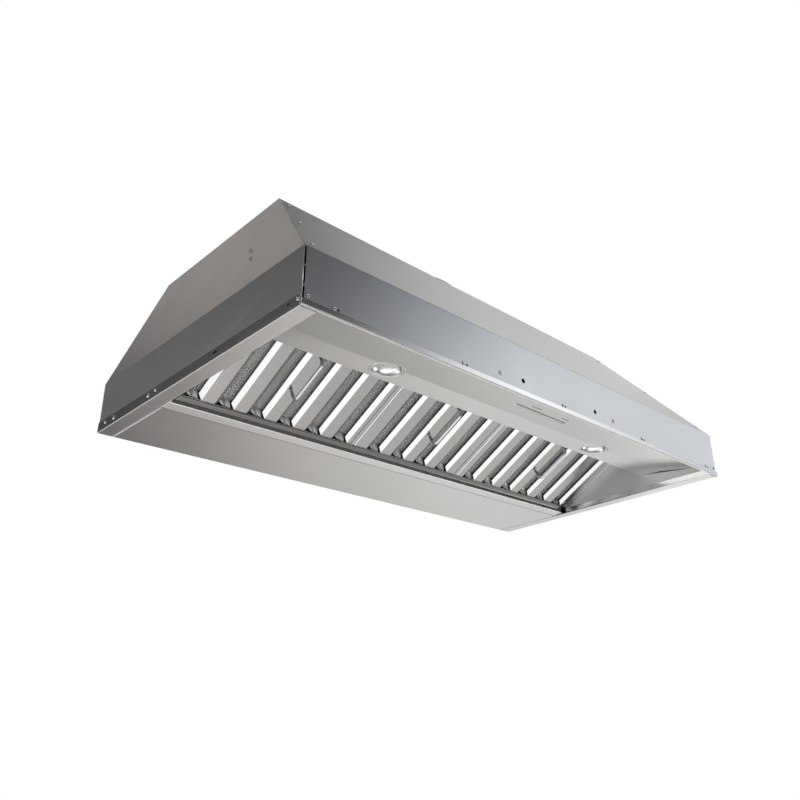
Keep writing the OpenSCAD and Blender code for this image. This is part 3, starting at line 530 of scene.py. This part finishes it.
def makeBandHoleShadows():  # a black disc painted as the shade inside the hole beside each screw of the front rail
    plan = bandHoles
    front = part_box("front_panel")[0][1]
    work = bmesh.new()
    for k in range(plan["count"]):
        x = plan["first"] + k * plan["step"]
        middle = Vector((x * mm, front + plan["inside"] * mm, plan["height"] * mm))
        spin(work, [(plan["radius"], 0), (0, 0)], standOn(middle, Vector((0, -1, 0))), 24)
    newPiece("bandHoleShadows", work, "hood", "paintedShadeBlack")


makeBandHoleShadows()
print("screws made")


# Filters: a frame on each filter's face, in mm
filterPlan = {"footY": 90.7, "footZ": 14.7, "pitch": 57.5, "slot": 35.0, "face": 22.5, "sideX": 310.0,
              "sideSlots": 6, "middleSlots": 4}


def onFilter(x, s, depth):  # s up the slope from the visible lower end, depth into the hood
    up, into = math.sin(filterSlope), math.cos(filterSlope)
    return Vector((x, filterPlan["footY"] - into * s + up * depth,
                   filterPlan["footZ"] + up * s + into * depth)) * mm


def tube(work, path, radius, segments):
    rings = []
    side = Vector((1, 0, 0))
    for k, point in enumerate(path):
        ahead = (path[min(k + 1, len(path) - 1)] - path[max(k - 1, 0)]).normalized()
        across = side.cross(ahead).normalized()
        ring = []
        for j in range(segments):
            a = 2 * math.pi * j / segments
            ring.append(work.verts.new(point + (side * math.cos(a) + across * math.sin(a)) * radius * mm))
        rings.append(ring)
    for first, second in zip(rings, rings[1:]):
        for j in range(segments):
            after = (j + 1) % segments
            work.faces.new((first[j], first[after], second[after], second[j]))
    work.faces.new(rings[0][::-1])
    work.faces.new(rings[-1])


handlePlan = {"low": 77.0, "long": 83.0, "out": 33.0, "bend": 11.0, "wire": 3.2, "aside": 8.0, "face": 0.8,
              "foot": 0.5, "steps": 12, "segments": 20}


def makeHandle(name, x):
    plan = handlePlan
    low, high, bend = plan["low"], plan["low"] + plan["long"], plan["bend"]
    leg = plan["out"] - bend
    turns = [math.pi / 2 * k / plan["steps"] for k in range(plan["steps"] + 1)]
    x -= plan["aside"]
    path = [onFilter(x, low, plan["foot"]), onFilter(x, low, -leg / 2)]
    path += [onFilter(x, low + bend - bend * math.cos(a), -leg - bend * math.sin(a)) for a in turns]
    path += [onFilter(x, high - bend + bend * math.sin(a), -leg - bend * math.cos(a)) for a in turns]
    path += [onFilter(x, high, -leg / 2), onFilter(x, high, plan["foot"])]
    work = bmesh.new()
    tube(work, path, plan["wire"], plan["segments"])
    outward = (onFilter(0, 0, -1) - onFilter(0, 0, 0)).normalized()
    for s in (low, high):  # a small weld bead round each foot
        bead = [(plan["wire"] - 0.2, 1.3), (plan["wire"] + 0.5, 0.9), (plan["wire"] + 1.0, 0.35),
                (plan["wire"] + 1.3, 0.0)]
        spin(work, bead, standOn(onFilter(x, s, plan["face"]), outward), 24)
    node = name + "_filter_handle"
    newPiece(node + "Wire", work, bodyOf[node], "wireChrome", (node,))


filterRow = {
    # side: middle in X, number of slots
    "left": (-filterPlan["sideX"], filterPlan["sideSlots"]),
    "middle": (0.0, filterPlan["middleSlots"]),
    "right": (filterPlan["sideX"], filterPlan["sideSlots"]),
}
for name, (x, slots) in filterRow.items():
    makeHandle(name, x)
print("handles made")

scoopPlan = {"footStart": 15.0, "topStart": 1.0, "end": 2.0, "start": 0.5, "top": 12.5, "shallow": 3.6,
             "deep": 10.7, "pleat": 1.1, "pleats": 2.0, "thick": 0.5, "steps": 24}


def makeScoops(name, x, slots):  # the pleated drain tab at the foot of each slot, open at its left, in a dark copy of the steel that paints the shade at the slot's foot
    plan = scoopPlan
    work = bmesh.new()
    first = x - (slots * filterPlan["slot"] + (slots - 1) * filterPlan["face"]) / 2
    steps = plan["steps"]
    for i in range(slots):
        slotStart = first + i * filterPlan["pitch"]
        high = slotStart + filterPlan["slot"] - plan["end"]
        grid = []
        for v in range(steps + 1):
            along = v / steps
            s = plan["start"] + (plan["top"] - plan["start"]) * along
            low = slotStart + plan["footStart"] + (plan["topStart"] - plan["footStart"]) * along
            row = []
            for u in range(steps + 1):
                across = u / steps
                wave = abs((across * plan["pleats"] * 2) % 2 - 1) * 2 - 1
                fold = plan["pleat"] * wave * (1 - along)
                depth = plan["shallow"] + (plan["deep"] - plan["shallow"]) * along + fold
                row.append(work.verts.new(onFilter(low + (high - low) * across, s, depth)))
            grid.append(row)
        fillGrid(work, grid)
    piece = newPiece(name + "DrainTabs", work, name + "_filter", "tabShadeSteel", smooth=False)
    thick = piece.modifiers.new("thickness", "SOLIDIFY")
    thick.thickness = plan["thick"] * mm


for name, (x, slots) in filterRow.items():
    makeScoops(name, x, slots)
print("drain tabs made")

# Lamps: a rim with its cup, a bright dish, a holder and a ribbed lens
lampPlan = {"x": 268.5, "shift": 7.5, "y": -152.54, "z": 39.49, "lean": math.atan2(4.0, 50.5),
            "radius": 29.0, "cup": 20.0, "dishOut": 26.2, "dishIn": 12.4, "dishLow": 0.1, "dishTop": 12.5,
            "dishSteps": 14, "dishThick": 0.5, "lens": 9.9, "lensTop": 12.5, "lensLow": 4.4,
            "lensDome": 2.4, "lensCurve": 2.5, "ribHigh": 0.12, "ribTurn": 3.2, "lensSteps": 18,
            "segments": 72, "innerSegments": 56, "neck": 13.4}
# radius and height round the section of the holder
holderSection = [(12.3, 13.2), (12.3, 7.0), (12.0, 6.3), (11.3, 6.0), (10.4, 6.1), (10.0, 6.6), (9.95, 13.2),
                 (12.3, 13.2)]


def makeLamp(side, sign):
    plan = lampPlan
    into = Vector((0, -math.sin(plan["lean"]), math.cos(plan["lean"])))
    base = standOn(Vector((sign * plan["x"] + plan["shift"], plan["y"], plan["z"])) * mm, into)
    body = bodyOf[side + "_lamp_cup"]
    r, cup, neck = plan["radius"], plan["cup"], plan["neck"]
    work = bmesh.new()
    spin(work, [(neck, cup - 1.2), (neck, cup), (r - 0.8, cup), (r, cup - 0.8), (r, -0.2), (r - 0.25, -0.5),
                (r - 0.7, -0.6), (r - 2.2, -0.6), (r - 2.6, -0.45), (r - 2.8, 0.2), (r - 1.4, 1.4),
                (r - 1.4, cup - 1.2), (neck, cup - 1.2)], base, plan["segments"])
    newPiece(side + "LampRim", work, body, "rimSteel", (side + "_lamp_cup",))
    work = bmesh.new()
    dish = []
    for k in range(plan["dishSteps"] + 1):
        a = math.pi / 2 * k / plan["dishSteps"]
        dish.append((plan["dishIn"] + (plan["dishOut"] - plan["dishIn"]) * math.cos(a),
                     plan["dishLow"] + plan["dishTop"] * math.sin(a)))
    thick = plan["dishThick"]
    back = [(radius + thick, height + thick) for radius, height in reversed(dish)]
    spin(work, dish + back + dish[:1], base, plan["segments"])
    newPiece(side + "LampDish", work, body, "dishSteel",
             (side + "_reflector",))
    work = bmesh.new()
    spin(work, holderSection, base, plan["innerSegments"])
    newPiece(side + "LampHolder", work, body, "rimSteel")
    work = bmesh.new()
    lens = []
    for k in range(plan["lensSteps"] + 1):
        radius = plan["lens"] * (1 - k / plan["lensSteps"])
        rib = plan["ribHigh"] * math.sin(radius * plan["ribTurn"])
        dome = plan["lensDome"] * (radius / plan["lens"]) ** plan["lensCurve"]
        lens.append((radius, plan["lensLow"] + dome + rib))
    lens[-1] = (0, lens[-1][1])
    spin(work, [(plan["lens"], plan["lensTop"])] + lens, base, plan["innerSegments"])
    newPiece(side + "LampLens", work, body, "lensGlass", (side + "_lens",))


for side, sign in (("left", -1), ("right", 1)):
    makeLamp(side, sign)
print("lamps made")

# Push bars: flush in their slot, with a gap along the front and at the left end; a black slab in the front
# gap paints its shade
barPlan = {"front": -285.5, "low": 21.3, "slope": math.atan2(38.5 - 21.3, 120.5), "start": 74.7,
           "width": 9.6, "gap": 3.2, "rear": 0.25, "end": 0.4, "cut": 2.0, "bottom": 0.3, "top": 4.5,
           "edge": 0.5, "shadowBack": 0.2, "shadowLow": 0.05, "shadowTop": 0.6, "window": 2.0,
           "windowProud": 0.2, "travel": 1.5, "left": -25.0, "between": 47.0, "right": 107.0}


def onPanel(x, v, height):  # v up the light panel from the front, height above its lower surface
    slope = barPlan["slope"]
    return Vector((x, barPlan["front"] + math.cos(slope) * v - math.sin(slope) * height,
                   barPlan["low"] + math.sin(slope) * v + math.cos(slope) * height)) * mm


def panelSlab(outline, heights):  # a slab on the light panel from its four corners and two heights
    work = bmesh.new()
    corners = [work.verts.new(onPanel(x, v, height)) for height in heights for x, v in outline]
    for ring in ((3, 2, 1, 0), (4, 5, 6, 7), (0, 1, 5, 4), (1, 2, 6, 5), (2, 3, 7, 6), (3, 0, 4, 7)):
        work.faces.new([corners[k] for k in ring])
    return work


def makeBars():
    plan = barPlan
    v0, v1 = plan["start"] + plan["gap"], plan["start"] + plan["width"] - plan["rear"]
    for node, low, high in (("fan_bar", plan["left"], plan["between"]),
                            ("light_bar", plan["between"], plan["right"])):
        x0, x1 = low + plan["end"], high - plan["end"]
        outline = ((x0 + plan["cut"], v0), (x1, v0), (x1, v1), (x0, v1))
        work = panelSlab(outline, (plan["bottom"], plan["top"]))
        piece = newPiece(node + "Shown", work, bodyOf[node], "panelSteel", (node,))
        soft = piece.modifiers.new("edge", "BEVEL")
        soft.width = plan["edge"] * mm
        soft.segments = 3
        keepFlat(piece)


makeBars()


def makeIndicators():  # dark windows, just proud of the panel
    plan = barPlan
    into = (onPanel(0, 0, 1) - onPanel(0, 0, 0)).normalized()
    radius, proud = plan["window"], plan["windowProud"]
    work = bmesh.new()
    for points in looseIslands("indicator_lights"):
        foot = min(point.dot(into) for point in points)
        rim = [point for point in points if point.dot(into) < foot + rimReach]
        profile = [(0, -proud), (radius, -proud), (radius, 2.0), (0, 2.0)]
        spin(work, profile, standOn(centreOf(rim), into), 20)
    newPiece("indicatorWindows", work, bodyOf["indicator_lights"], "smokedPlastic",
             ("indicator_lights",))


def makeSlotShadows():  # a black slab painted as the shade in the gap in front of each bar
    plan = barPlan
    v0 = plan["start"] - plan["shadowBack"]
    v1 = v0 + plan["gap"]
    for name, x0, x1 in (("fan", plan["left"], plan["between"] - plan["end"]),
                         ("light", plan["between"] + plan["end"], plan["right"])):
        work = panelSlab(((x0, v0), (x1, v0), (x1, v1), (x0, v1)), (plan["shadowLow"], plan["shadowTop"]))
        newPiece(name + "SlotShadow", work, "hood", "paintedShadeBlack", smooth=False)


makeIndicators()
makeSlotShadows()

for spring, joint in (("fan_spring", "fan_bar_push"), ("light_spring", "light_bar_push")):
    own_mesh(frame["nodes"][spring])
print("bars made")

# Seams of the rear cover: black bars at its front and right paint a fine shadow, and near-white bars at its
# left and on the track paint highlights on the bends
seamPlan = {"shadow": 0.9, "bright": 1.6, "rise": 1.0, "drop": 0.45, "proud": 0.12, "trackWidth": 22.2,
            "trackRise": 2.1, "rampHigh": 1.2}


def bar(name, ends, section, finish, owner="rear_cover"):  # a straight bar with the given section
    work = bmesh.new()
    rings = [[work.verts.new(end + offset * mm) for offset in section] for end in ends]
    work.faces.new(rings[0][::-1])
    work.faces.new(rings[1])
    for k in range(len(section)):
        after = (k + 1) % len(section)
        work.faces.new((rings[0][k], rings[0][after], rings[1][after], rings[1][k]))
    bmesh.ops.recalc_face_normals(work, faces=work.faces)
    newPiece(name, work, bodyOf[owner], finish, smooth=False)


def makeSeams():
    plan = seamPlan
    low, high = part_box("rear_cover")
    half, proud = plan["shadow"] / 2, plan["proud"]
    foot = low[2]
    frontLeft, frontRight = Vector((low[0], low[1], foot)), Vector((high[0], low[1], foot))
    section = ((-half, -proud), (half, -proud), (half, 1), (-half, 1))
    across = [Vector((0, side, up)) for side, up in section]
    along = [Vector((side, 0, up)) for side, up in section]
    # black bars: painted shadow along the seams
    bar("frontSeamShadow", (frontLeft, frontRight), across, "paintedShadeBlack")
    bar("rightSeamShadow", (frontRight, Vector((high[0], high[1], foot))), along, "paintedShadeBlack")
    # near-white bars: painted highlights on the bends
    wide, rise = plan["bright"], plan["rise"]
    height = foot - plan["drop"] * mm
    ramp = [Vector((-wide / 2, 0, rise / 2)), Vector((wide / 2, 0, -rise / 2)),
            Vector((wide / 2, 0, plan["rampHigh"]))]
    ends = Vector((low[0], low[1], height)), Vector((low[0], high[1], height))
    bar("leftSeamHighlight", ends, ramp, "paintedHighlightSteel")
    step = [Vector((0, -wide / 3, wide / 3)), Vector((0, wide / 3, -wide / 3)), Vector((0, wide / 3, 1))]
    trackY = low[1] - plan["trackWidth"] * mm
    height = foot + plan["trackRise"] * mm
    ends = Vector((low[0], trackY, height)), Vector((high[0], trackY, height))
    bar("trackBendHighlight", ends, step, "paintedHighlightSteel", "filter_track")


makeSeams()

# Small pressed marks on the left slope
markPlan = {"places": [(-472.8, -84.9, 193.4), (-483.2, -105.1, 165.0)], "long": 3.4, "wide": 2.2,
            "high": 1.3, "turn": 35.0, "steps": 14}
sideLean = math.atan2(232, 87)  # rise and run of the side slopes in mm


def makeMarks():
    plan = markPlan
    outward = Vector((-math.sin(sideLean), 0, math.cos(sideLean)))
    work = bmesh.new()
    steps = plan["steps"]
    for place in plan["places"]:
        base = standOn(Vector(place) * mm, outward, math.radians(plan["turn"]))
        grid = []
        for v in range(steps + 1):
            row = []
            for u in range(steps + 1):
                across, along = 2 * u / steps - 1, v / steps
                rise = max(0.0, 1 - across ** 2) * math.sin(math.pi / 2 * along) ** 0.6
                rise *= max(0.0, 1 - along ** 6)
                point = Vector((across * plan["long"], (along - 0.5) * 2 * plan["wide"],
                                rise * plan["high"] - 0.05))
                row.append(work.verts.new(base @ (point * mm)))
            grid.append(row)
        fillGrid(work, grid)
    newPiece("pressedMarks", work, "hood", "screwSteel")


makeMarks()

# Clip nuts with a drawn collar round each hole
clipPlan = {"length": 14.0, "width": 12.0, "thick": 0.7, "hole": 2.8, "collar": 4.0, "collarHigh": 1.2,
            "sunk": 0.55, "dark": 0.3, "segments": 28}


def makeClips():
    plan = clipPlan
    thick, count = plan["thick"], plan["segments"]
    foot = plan["collar"] + 0.4
    top = thick + plan["collarHigh"]
    collar = [(plan["hole"], 0.0), (plan["hole"], top), (plan["hole"] + 0.35, top + 0.1),
              (plan["collar"] - 0.3, thick + 0.25), (foot, thick)]
    half = (plan["width"] / 2, plan["length"] / 2)
    work = bmesh.new()
    for points in looseIslands("rail_clip_nuts"):
        middle = centreOf(points)
        outward = Vector((math.copysign(1, middle.x), 0, 0))
        reach = max(point.dot(outward) for point in points)
        seat = Vector((0, middle.y, middle.z)) + outward * (reach - (thick + plan["sunk"]) * mm)
        base = standOn(seat, outward)
        spin(work, collar, base, count)
        # a black disc in the hole: painted shade
        addShadeDisc(work, plan["hole"], plan["dark"], base, count)
        angles = [2 * math.pi * k / count for k in range(count)]
        ring = [(foot * math.cos(a), foot * math.sin(a)) for a in angles]
        inner = [work.verts.new(base @ (Vector((x, y, thick)) * mm)) for x, y in ring]
        outer = []
        for x, y in ring:  # the plate's outline, met along each ray from the hole
            scale = min(half[0] / max(abs(x), 0.001), half[1] / max(abs(y), 0.001))
            outer.append((x * scale, y * scale))
        for height in (thick, 0.0):
            rim = [work.verts.new(base @ (Vector((x, y, height)) * mm)) for x, y in outer]
            for k in range(count):
                after = (k + 1) % count
                work.faces.new((inner[k], inner[after], rim[after], rim[k]))
            inner = rim
    piece = newPiece("railClips", work, bodyOf["rail_clip_nuts"], "sideRailSteel",
                     ("rail_clip_nuts",), smooth=False)
    piece.data.materials.append(finishes["paintedShadeBlack"])


makeClips()
print("marks and clips made")


# Studio: a white backdrop for the camera, and soft light from all sides
studio = {
    "background": (1.0, 1.0, 1.0),
    "ambient": (0.06, 0.06, 0.06),
    # azimuth from the rear towards +X, elevation, outer and inner angle, strength, colour
    "softLights": [
        (96, 24, 13, 2, 3.53, (0.97, 0.97, 1.05)),  # right and front right: the front band
        (106, 10, 13, 2, 0.98, (1.06, 1.02, 0.91)),
        (116, 10, 13, 2, 0.42, (0.77, 0.92, 1.31)),
        (126, 20, 13, 2, 0.83, (1.02, 1.02, 0.96)),
        (126, 30, 13, 2, 0.52, (0.86, 0.99, 1.15)),
        (136, 20, 13, 2, 0.37, (1.03, 0.97, 1.0)),
        (66, 20, 17, 3, 1.01, (1.02, 0.95, 1.03)),  # behind right, high: the front slope
        (80, 46, 17, 3, 1.02, (1.01, 1.03, 0.96)),
        (52, 33, 17, 3, 0.45, (0.96, 0.99, 1.05)),
        (38, 33, 17, 3, 1.41, (1.03, 1.0, 0.97)),
        (11, 42, 17, 3, 0.65, (1.06, 0.99, 0.95)),  # behind, high: the left slope
        (-45, 14, 17, 3, 0.53, (0.96, 0.98, 1.05)),  # behind left: the left band
        (-64, -12, 17, 3, 1.45, (0.99, 1.0, 1.02)),  # left, low: the right inner wall
        (-50, -12, 15, 2, 1.41, (0.99, 1.03, 0.98)),
        (40, -24, 15, 2, 0.66, (1.03, 1.01, 0.97)),  # behind, low: light panel and rear cover
        (54, -24, 15, 2, 0.36, (0.83, 1.05, 1.12)),
        (54, -10, 15, 2, 0.32, (1.04, 1.01, 0.95)),
        (68, -10, 15, 2, 1.05, (1.03, 1.0, 0.96)),
        (93, -23, 46, 7, 0.18, (0.99, 1.04, 0.98)),
        (115, -25, 20, 3, 2.87, (1.03, 1.0, 0.97)),  # front right, low: rail bends and flanges
        (60, -49, 46, 7, 0.42, (1.04, 0.99, 0.97)),  # below: baffles and flanks
        (198, -55, 46, 7, 1.71, (0.99, 1.01, 1.0)),
        (335, -63, 46, 7, 0.75, (1.07, 0.99, 0.94)),
        (283, -43, 46, 7, 1.01, (0.96, 1.0, 1.04)),
        (215, 25, 50, 15, 0.32, (1.0, 1.0, 1.0)),  # out of the photograph's view, for the other sides
        (265, 45, 40, 10, 0.25, (1.0, 1.0, 1.0)),
        (180, 80, 34, 10, 0.5, (1.0, 1.0, 1.0)),
    ],
}


def makeStudio():
    world = Finish(bpy.data.worlds.new("studio"))
    scene.world = world.holder
    direction = world.node("TexCoord", out="Generated")
    total = studio["ambient"]
    for azimuth, elevation, outer, inner, strength, colour in studio["softLights"]:
        az, el = math.radians(azimuth), math.radians(elevation)
        aim = (math.sin(az) * math.cos(el), math.cos(az) * math.cos(el), math.sin(el))
        facing = world.node("VectorMath", {"operation": "DOT_PRODUCT"}, {0: direction, 1: aim}, out="Value")
        spot = world.ramp(facing, math.cos(math.radians(outer)), math.cos(math.radians(inner)))
        shine = tuple(level * strength for level in colour)
        glow = world.node("VectorMath", {"operation": "SCALE"}, {0: shine, "Scale": spot})
        total = world.node("VectorMath", {"operation": "ADD"}, {0: total, 1: glow})
    light = world.node("Background", None, {"Color": total, "Strength": 1.0})
    backdrop = world.node("Background", None, {"Color": studio["background"], "Strength": 1.0})
    seen = world.node("LightPath", out="Is Camera Ray")
    both = world.node("MixShader", None, {0: seen, 1: light, 2: backdrop})
    world.surface(both, "OutputWorld")


makeStudio()

floorPlan = {"height": -1.35, "size": 9.0, "colour": (0.82, 0.82, 0.82), "glow": 0.72}


def makeFloor():
    mesh = bpy.data.meshes.new("floor")
    half = floorPlan["size"] / 2
    corners = [(x * half, y * half, floorPlan["height"]) for x, y in ((-1, -1), (1, -1), (1, 1), (-1, 1))]
    mesh.from_pydata(corners, [], [(0, 1, 2, 3)])
    floor = bpy.data.objects.new("floor", mesh)
    scene.collection.objects.link(floor)
    paper = Finish(bpy.data.materials.new("paperFloor"))
    matt = paper.node("BsdfDiffuse", None, {"Color": floorPlan["colour"]})
    white = paper.node("Emission", None, {"Color": (1.0, 1.0, 1.0), "Strength": 1.0})
    seen = paper.node("LightPath", out="Is Camera Ray")
    mesh.materials.append(paper.surface(paper.node("MixShader", None,
                                                   {0: seen * floorPlan["glow"], 1: matt, 2: white})))
    floor.visible_glossy = False


makeFloor()

lamps = [
    # name, place, aim, size, watts
    ("overheadLamp", (0.4, -0.6, 2.6), (0, 0, 0.2), 2.2, 60),
]


def makeLamps():
    for name, place, aim, size, watts in lamps:
        data = bpy.data.lights.new(name, "AREA")
        data.shape = "SQUARE"
        data.size = size
        data.energy = watts
        lamp = bpy.data.objects.new(name, data)
        scene.collection.objects.link(lamp)
        lamp.location = place
        lamp.rotation_euler = (Vector(aim) - Vector(place)).to_track_quat("-Z", "Y").to_euler()
        lamp.visible_camera = False
        lamp.visible_glossy = False  # it lights the floor and plastics, not the metal


makeLamps()
print("studio built")

# the photograph's camera: place in m, angles in degrees, lens and sensor in mm
view = {"place": (-1.0070, -1.0204, -0.5115), "azimuth": 46.68, "elevation": 23.44, "roll": -2.03,
        "lens": 37.0, "sensor": 36.0, "shiftX": -0.0831, "shiftY": 0.0020}


def makeCamera():
    az, el, roll = (math.radians(view[key]) for key in ("azimuth", "elevation", "roll"))
    forward = Vector((math.sin(az) * math.cos(el), math.cos(az) * math.cos(el), math.sin(el)))
    right = Vector((math.cos(az), -math.sin(az), 0))
    up = right.cross(forward)
    turnedRight = right * math.cos(roll) + up * math.sin(roll)
    turnedUp = up * math.cos(roll) - right * math.sin(roll)
    data = bpy.data.cameras.new("photoCamera")
    data.lens = view["lens"]
    data.sensor_width = view["sensor"]
    data.shift_x = view["shiftX"]
    data.shift_y = view["shiftY"]
    data.clip_start = 0.02
    camera = bpy.data.objects.new("photoCamera", data)
    scene.collection.objects.link(camera)
    axes = Matrix((turnedRight, turnedUp, -forward)).transposed().to_4x4()
    camera.matrix_world = Matrix.Translation(Vector(view["place"])) @ axes
    scene.camera = camera


makeCamera()
scene.view_settings.view_transform = "Standard"
print("camera placed")
